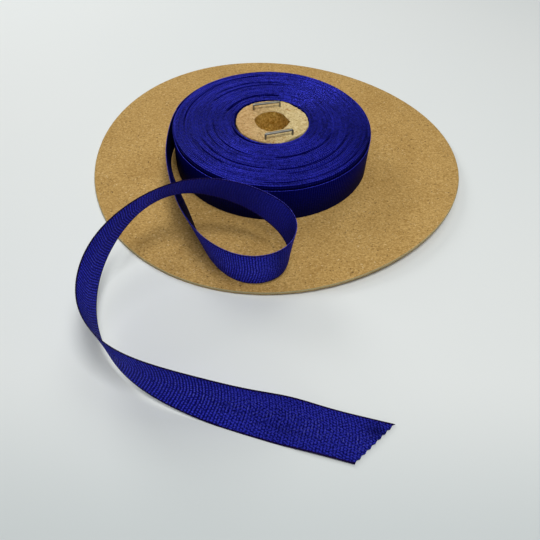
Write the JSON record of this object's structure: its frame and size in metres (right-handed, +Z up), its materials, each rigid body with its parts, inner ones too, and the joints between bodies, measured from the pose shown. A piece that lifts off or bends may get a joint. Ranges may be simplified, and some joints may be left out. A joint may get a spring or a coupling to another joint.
{
  "type": "roll of ribbon trim",
  "caption": "Roll of ribbed royal blue ribbon trim on a stapled chipboard core and a round card disc, with a loose end that curls in front and lies flat.",
  "frame": {"origin": "bottom centre of the whole part's box, on the surface that it lies on", "axes": "+Z up along the roll's axis, +Y from the loose end towards the back of the disc, +X to the right as seen from the loose end"},
  "size_m": [0.166, 0.229, 0.0341],
  "materials": {
    "ribbon": "ribbed weave with a soft sheen",
    "card": "matt kraft card with fibre flecks",
    "chipboard": "rough chipboard with coarse fibres",
    "staple_wire": "plain steel wire"
  },
  "bodies": {
    "root": {"card_disc": "card", "core": "chipboard", "ribbon_roll": "ribbon", "ribbon_tail": "ribbon", "staple_rear": "staple_wire", "staple_front": "staple_wire"}
  },
  "joints": []
}
